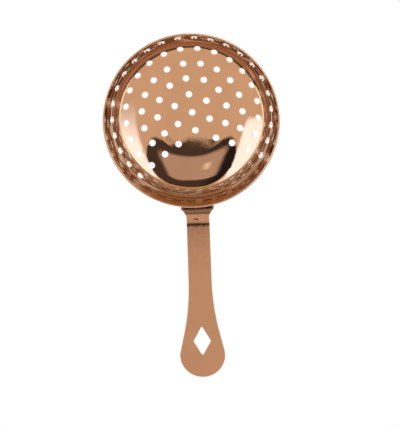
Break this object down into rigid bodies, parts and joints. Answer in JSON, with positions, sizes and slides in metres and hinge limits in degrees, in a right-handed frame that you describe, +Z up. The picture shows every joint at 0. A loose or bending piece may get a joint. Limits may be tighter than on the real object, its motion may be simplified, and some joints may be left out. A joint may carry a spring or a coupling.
{
  "type": "julep strainer",
  "caption": "Round perforated dish with a flat stepped handle spot-welded under its rim and a diamond hanging hole.",
  "frame": {"origin": "on the table under the middle of the strainer's bounding box, as it lies on the belly of the bowl and the tip of the handle", "axes": "+Y from the handle towards the bowl, +X to the right seen from above with the bowl up, +Z up off the table"},
  "size_m": [0.078, 0.155, 0.0346],
  "materials": {
    "polished_copper": "mirror-polished copper plating over stainless sheet",
    "handle_copper": "polished copper plating over stainless strip",
    "weld_metal": "fused stainless, hidden between the sheets"
  },
  "bodies": {
    "root": {"strainer_bowl": "polished_copper", "handle": "handle_copper", "spot_welds": "weld_metal"}
  },
  "joints": []
}
